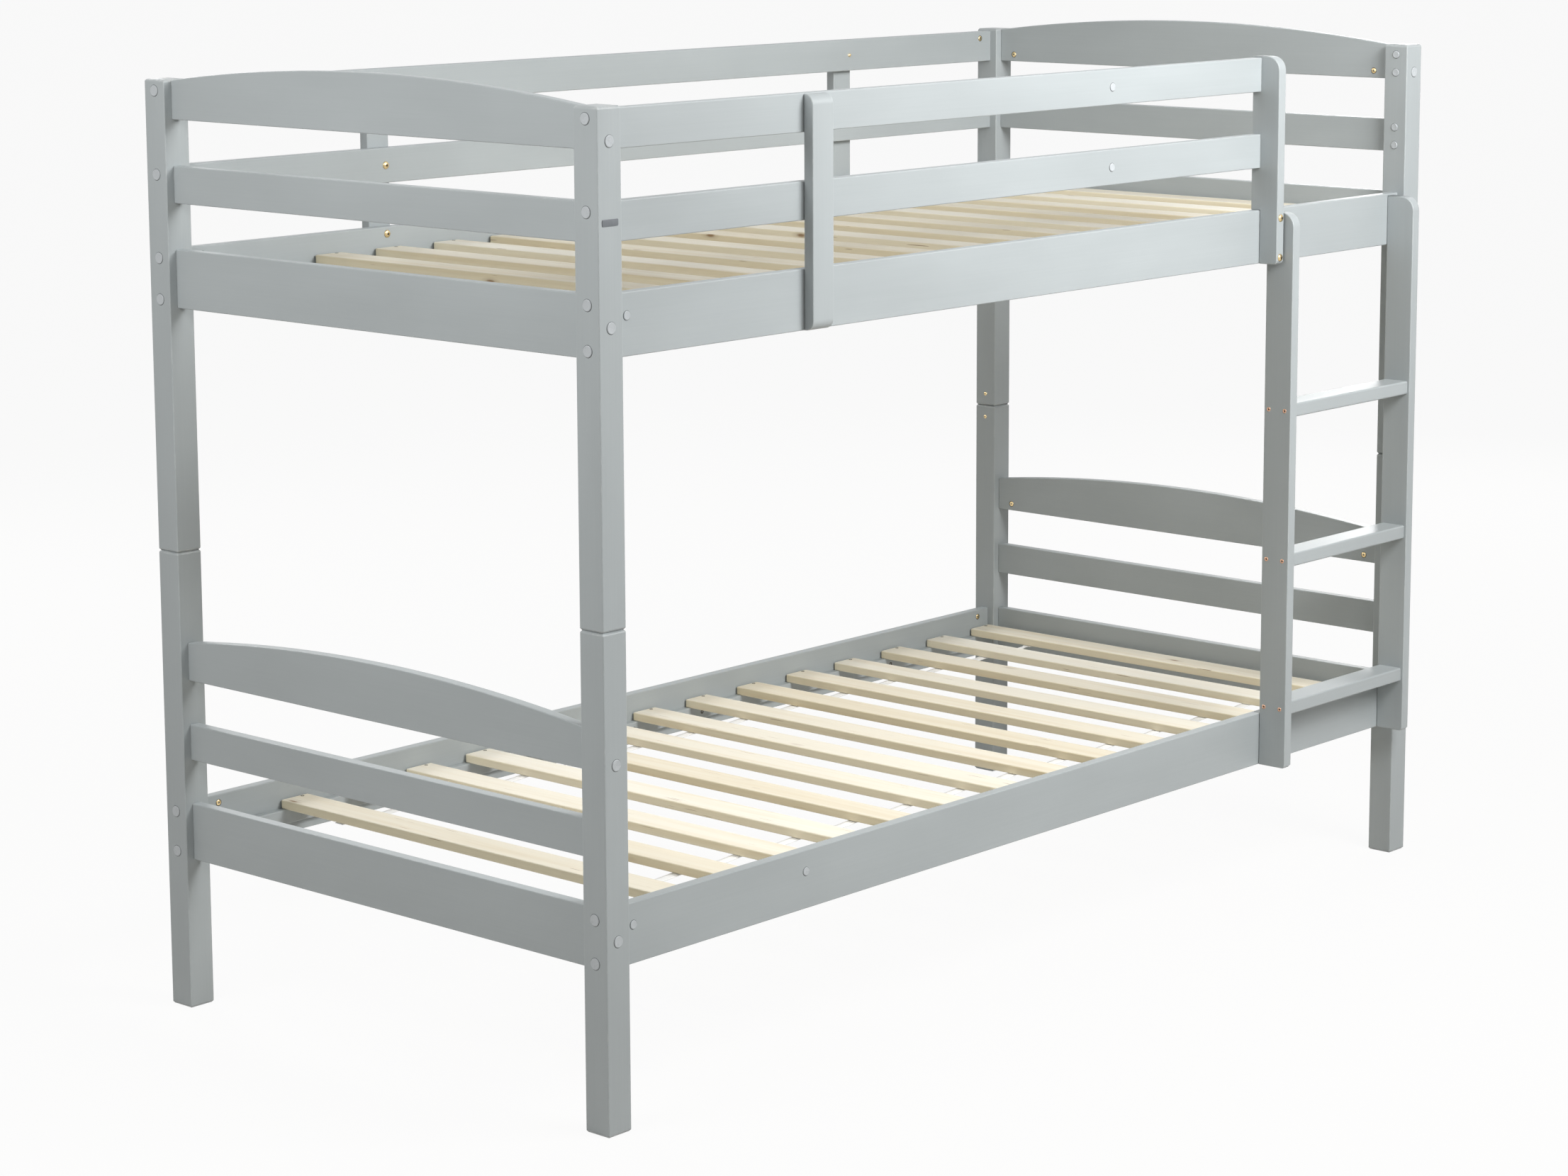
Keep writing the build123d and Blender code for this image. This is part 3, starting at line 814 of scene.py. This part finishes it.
def nutEnds(node, v=nutValues):
    # Barrel nuts: a domed brass end in a bore in the rail. The ring round the bore and the small six-sided
    # socket on the end are painted shade.
    ends = []
    nutShade = []
    radius = v["radius"]
    top = v["proud"] + v["dome"]
    for low, high in solidsOf(node):
        middle = (low + high) / 2
        axis = int(np.argmax(high - low))
        length = high[axis] - low[axis]
        inwards = np.zeros(3)
        inwards[axis] = -np.sign(middle[axis])
        face = middle + inwards * length / 2
        end = ((radius, -length), (radius, v["proud"]), (radius * v["flat"], top), (v["centre"], top))
        ends.append(turned(end, face, inwards))
        # painted shade: a dark ring round the nut's end
        ring = shadowRing(radius, v["shadowOut"], v["shadowIn"], v["shadowSink"], v["shadowProud"])
        nutShade.append(turned(ring, face, inwards))
        # painted shade: the socket, a dark six-sided disc just over the dome
        slot = ((v["slot"], top - v["slotSink"]), (v["slot"], top + v["slotProud"]),
                (v["slotCentre"], top + v["slotProud"]))
        nutShade.append(turned(slot, face, inwards, hexSides))
    piece = addTurned(node + "_ends", ends, bodyOf(node), brass)
    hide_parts(node)
    addTurned(node + "_bore_shade", nutShade, bodyOf(node), capShadow)


def pinScrews(node, v=pinScrewValues):
    # A pin screw's head is at its end nearer the bed's middle, on the post's inner face.
    seats = []
    for low, high in solidsOf(node):
        middle = (low + high) / 2
        inwards = np.array((-np.sign(middle[0]), 0, 0))
        length = high[0] - low[0]
        seats.append((middle + inwards * (length / 2 - v["frameHeight"]), inwards, length - v["frameHeight"]))
    addHeads(node, seats, v)


for bed in ("lower", "upper"):
    nutEnds(f"{bed}_barrel_nuts")
for bed in ("lower", "upper"):
    pinScrews(f"{bed}_pin_screws")

flatScrewValues = {
    "sink": 0.0010,
    "proud": 0.0003,
    "slope": 0.5,                # this and hole are shares of the radius
    "slopeProud": 0.00039,
    "hole": 0.42,
    "holeSink": 0.0006,
    "centre": 0.0002,
    "centreSink": 0.0008,
    "sides": 16,
}
ladderScrewValues = {
    "spread": 0.0165,            # from the rung's middle line
    "radius": 0.0037,
    "socket": ((0.0016, -0.0009), (0.0016, 0.00005), (0.0008, 0.00005)),
}
slatScrewValues = {
    "profile": ((0.0032, -0.0005), (0.0032, 0.0002), (0.0014, 0.0001), (0.0003, -0.0004)),
    "sides": 10,
    "fromEnd": 0.0065,
    "fromEdge": 0.017,
}
ledgerScrewValues = {"pitch": 0.178, "radius": 0.0036, "firstFromEnd": 0.085}


def flatScrew(seat, way, radius, v=flatScrewValues):
    # A flat head whose middle is hollow.
    profile = ((radius, -v["sink"]), (radius, v["proud"]), (radius * v["slope"], v["slopeProud"]),
               (radius * v["hole"], -v["holeSink"]), (v["centre"], -v["centreSink"]))
    return turned(profile, seat, way, v["sides"])


def ladderScrews(v=ladderScrewValues):
    # Two screws through each stile into each rung.
    heads = []
    sockets = []
    for side, outward in (("left", -1), ("right", 1)):
        stileLow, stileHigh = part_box(f"ladder_stile_{side}")
        face = stileLow[0] if outward < 0 else stileHigh[0]
        for rung in ("top", "middle", "bottom"):
            low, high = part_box(f"ladder_rung_{rung}")
            for spread in (-v["spread"], v["spread"]):
                seat = (face, (low[1] + high[1]) / 2 + spread, (low[2] + high[2]) / 2)
                heads.append(flatScrew(seat, (outward, 0, 0), v["radius"]))
                # each socket is a proud six-sided disc of painted shade
                sockets.append(turned(v["socket"], seat, (outward, 0, 0), hexSides))
    addTurned("ladder_screw_heads", heads, "upper_bed", copperScrew)
    addTurned("ladder_screw_sockets", sockets, "upper_bed", darkScrewsAndSocketShade)


def slatScrews(bed, v=slatScrewValues):
    # One screw through each slat's end into the ledger.
    screws = []
    for low, high in solidsOf(f"{bed}_slats"):
        for y in (low[1] + v["fromEnd"], high[1] - v["fromEnd"]):
            seat = (high[0] - v["fromEdge"], y, high[2])
            # the head is near-black: partly a dark screw, partly painted shade in its countersunk hole
            screws.append(turned(v["profile"], seat, (0, 0, 1), v["sides"]))
    addTurned(f"{bed}_slat_screws", screws, bodyOf(f"{bed}_slats"), darkScrewsAndSocketShade)


def ledgerScrews(bed, v=ledgerScrewValues):
    # A row of screws along each ledger's inner face.
    screws = []
    for side, inwards in (("front", 1), ("back", -1)):
        low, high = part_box(f"{bed}_{side}_ledger")
        face = high[1] if inwards > 0 else low[1]
        first = low[0] + v["firstFromEnd"]
        for x in np.arange(first, high[0] - v["firstFromEnd"] / 2, v["pitch"]):
            # the head is near-black: partly a dark brass screw, partly painted shade under the slats
            screws.append(flatScrew((x, face, (low[2] + high[2]) / 2), (0, inwards, 0), v["radius"]))
    addTurned(f"{bed}_ledger_screws", screws, bodyOf(f"{bed}_slats"), darkScrewsAndSocketShade)


ladderScrews()
for bed in ("lower", "upper"):
    slatScrews(bed)
for bed in ("lower", "upper"):
    ledgerScrews(bed)
print("screws made")

# slat tapes, as woven ribbons under the slats
tapeValues = {
    "width": 0.018,
    "thick": 0.0008,
    "gap": 0.0007,
    "sag": 0.002,
    "twist": 1.0,                # turns in the last gap
    "places": 361,
    "strands": 4,
}


def tape(name, node, row, body, v=tapeValues):
    # A ribbon under the slats that hangs a little between them, as sine arches. In the last gap it
    # makes a full twist about its own length.
    low, high = row
    slatBoxes = sorted(solidsOf(node), key=lambda box: box[0][0])
    under = slatBoxes[0][0][2] - v["gap"]
    x = np.linspace(low[0], high[0], v["places"])
    drop = np.zeros(len(x))
    for first, second in zip(slatBoxes[:-1], slatBoxes[1:]):
        share = np.clip((x - first[1][0]) / (second[0][0] - first[1][0]), 0, 1)
        drop += v["sag"] * np.sin(share * math.pi)
    lastGap = share
    turn = lastGap * v["twist"] * 2 * math.pi
    drop += np.sin(lastGap * math.pi) * v["width"] / 2
    middle = (low[1] + high[1]) / 2
    across = np.linspace(-v["width"] / 2, v["width"] / 2, v["strands"])
    points = np.zeros((len(x), len(across), 3))
    points[:, :, 0] = x[:, None]
    points[:, :, 1] = middle + across[None, :] * np.cos(turn)[:, None]
    points[:, :, 2] = (under - drop)[:, None] + across[None, :] * np.sin(turn)[:, None]
    rows = np.arange(len(x) - 1)[:, None] * len(across)
    columns = np.arange(len(across) - 1)[None, :]
    base = (rows + columns).ravel()
    faces = np.stack((base, base + len(across), base + len(across) + 1, base + 1), 1).tolist()
    piece = addPiece(name, points.reshape(-1, 3), [tuple(face) for face in faces], body, tapeCloth)
    travel = np.concatenate(([0], np.cumsum(np.hypot(np.diff(x), np.diff(drop)))))
    uvs = np.stack((np.repeat(travel, len(across)), np.tile(across + v["width"] / 2, len(x))), 1)
    layer = piece.data.uv_layers.new(name="ribbon")
    corners = np.empty(len(piece.data.loops), np.int32)
    piece.data.loops.foreach_get("vertex_index", corners)
    layer.data.foreach_set("uv", uvs[corners].ravel())
    solid = piece.modifiers.new("thickness", "SOLIDIFY")
    solid.thickness = v["thick"]
    solid.offset = -1
    return piece, float(travel[-1])


for bed in ("lower", "upper"):
    tapeNode = f"{bed}_slat_tapes"
    rows = sorted(solidsOf(tapeNode), key=lambda box: box[0][1])
    for side, row in zip(("front", "back"), rows):
        piece, length = tape(f"{bed}_{side}_tape", f"{bed}_slats", row, bodyOf(tapeNode))
        if side == "front":
            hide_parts(tapeNode)
print("tapes made")

# the plain plate, and the hardware that stays inside
plateValues = {"round": 0.002, "steps": 5, "ease": 0.0002}
low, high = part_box("blank_plate")
plateCorners = [(low[0], low[2]), (high[0], low[2]), (high[0], high[2]), (low[0], high[2])]
plateCorners = [(*corner, plateValues["round"]) for corner in plateCorners]
plateOutline = roundedOutline(plateCorners, plateValues["steps"])
points, faces, wear = plankSurface(plateOutline, (low[1], high[1]), 1, plateValues["ease"])
piece = addPiece("plain_plate", points, faces, "upper_bed", plateDark, {"edge": wear})
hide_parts("blank_plate")

inside = {"bolts": zinc, "dowels": beech, "connecting_pins": zinc}
for node, cadPiece in nodes.items():
    for ending, material in inside.items():
        if node.endswith(ending) and node != "guard_bolts":
            cadPiece.data.materials.clear()
            cadPiece.data.materials.append(material)
print("plate and inner hardware finished")

# floor, world and lamps
studio = {
    "ambient": 0.11,
    "ambientColour": (1.0, 0.965, 0.91),
    "floorSize": 300.0,
    "floorColour": (0.63, 0.61, 0.575),
    "floorGlow": 0.94,
    "lamps": (
        # name, place, aim, size in metres, power in watts, colour
        ("frontLamp", (0.3, -4.4, 3.5), (0, 0, 0.8), 2.0, 112, (1.0, 1.0, 1.0)),
        ("keyLamp", (0.25, -1.9, 2.2), (0.3, 0, 1.2), 1.0, 38, (1.0, 1.0, 1.0)),
        ("leftLamp", (-3.8, 0.6, 2.4), (-0.8, 0, 0.9), 1.8, 28, (1.0, 1.0, 1.0)),
        ("nearLeftLamp", (-2.5, -0.3, 2.3), (-1.0, 0, 1.0), 1.0, 19, (1.0, 1.0, 1.0)),
        ("backLamp", (0.6, 4.4, 2.6), (0, 0, 0.8), 2.2, 80, (1.0, 1.0, 1.0)),
        ("endLamp", (5.0, 1.4, 2.2), (0.5, 0, 0.8), 2.0, 70, (1.0, 1.0, 1.0)),
    ),
}


def lightPath(tree):
    # One for camera, glossy and transmission rays, so that they all meet the white background.
    path = tree.nodes.new("ShaderNodeLightPath")
    both = maths(tree, "MAXIMUM", path.outputs["Is Camera Ray"], path.outputs["Is Glossy Ray"])
    return maths(tree, "MAXIMUM", both, path.outputs["Is Transmission Ray"])


def makeStudio(v):
    bpy.ops.mesh.primitive_plane_add(size=v["floorSize"], location=(0, 0, 0))
    floor = bpy.context.object
    floor.name = "studio_floor"
    material = bpy.data.materials.new("paleFloor")
    material.use_nodes = True
    tree = material.node_tree
    tree.nodes.clear()
    output = tree.nodes.new("ShaderNodeOutputMaterial")
    diffuse = tree.nodes.new("ShaderNodeBsdfDiffuse")
    diffuse.inputs["Color"].default_value = (*v["floorColour"], 1)
    glow = tree.nodes.new("ShaderNodeEmission")
    glow.inputs["Strength"].default_value = 1.0
    mix = tree.nodes.new("ShaderNodeMixShader")
    tree.links.new(maths(tree, "MULTIPLY", lightPath(tree), v["floorGlow"]), mix.inputs[0])
    tree.links.new(diffuse.outputs[0], mix.inputs[1])
    tree.links.new(glow.outputs[0], mix.inputs[2])
    tree.links.new(mix.outputs[0], output.inputs[0])
    floor.data.materials.append(material)

    world = bpy.data.worlds.new("paleRoom")
    world.use_nodes = True
    tree = world.node_tree
    tree.nodes.clear()
    output = tree.nodes.new("ShaderNodeOutputWorld")
    room = tree.nodes.new("ShaderNodeBackground")
    room.inputs["Color"].default_value = (*v["ambientColour"], 1)
    room.inputs["Strength"].default_value = v["ambient"]
    white = tree.nodes.new("ShaderNodeBackground")
    white.inputs["Color"].default_value = (1, 1, 1, 1)
    mix = tree.nodes.new("ShaderNodeMixShader")
    tree.links.new(lightPath(tree), mix.inputs[0])
    tree.links.new(room.outputs[0], mix.inputs[1])
    tree.links.new(white.outputs[0], mix.inputs[2])
    tree.links.new(mix.outputs[0], output.inputs[0])
    scene.world = world

    for name, place, aim, size, power, colour in v["lamps"]:
        data = bpy.data.lights.new(name, "AREA")
        data.shape = "DISK"
        data.size = size
        data.energy = power
        data.color = colour
        lamp = bpy.data.objects.new(name, data)
        way = Vector(aim) - Vector(place)
        lamp.matrix_world = Matrix.Translation(place) @ way.to_track_quat("-Z", "Y").to_matrix().to_4x4()
        scene.collection.objects.link(lamp)


makeStudio(studio)
scene.view_settings.view_transform = "Standard"
print("studio lit")
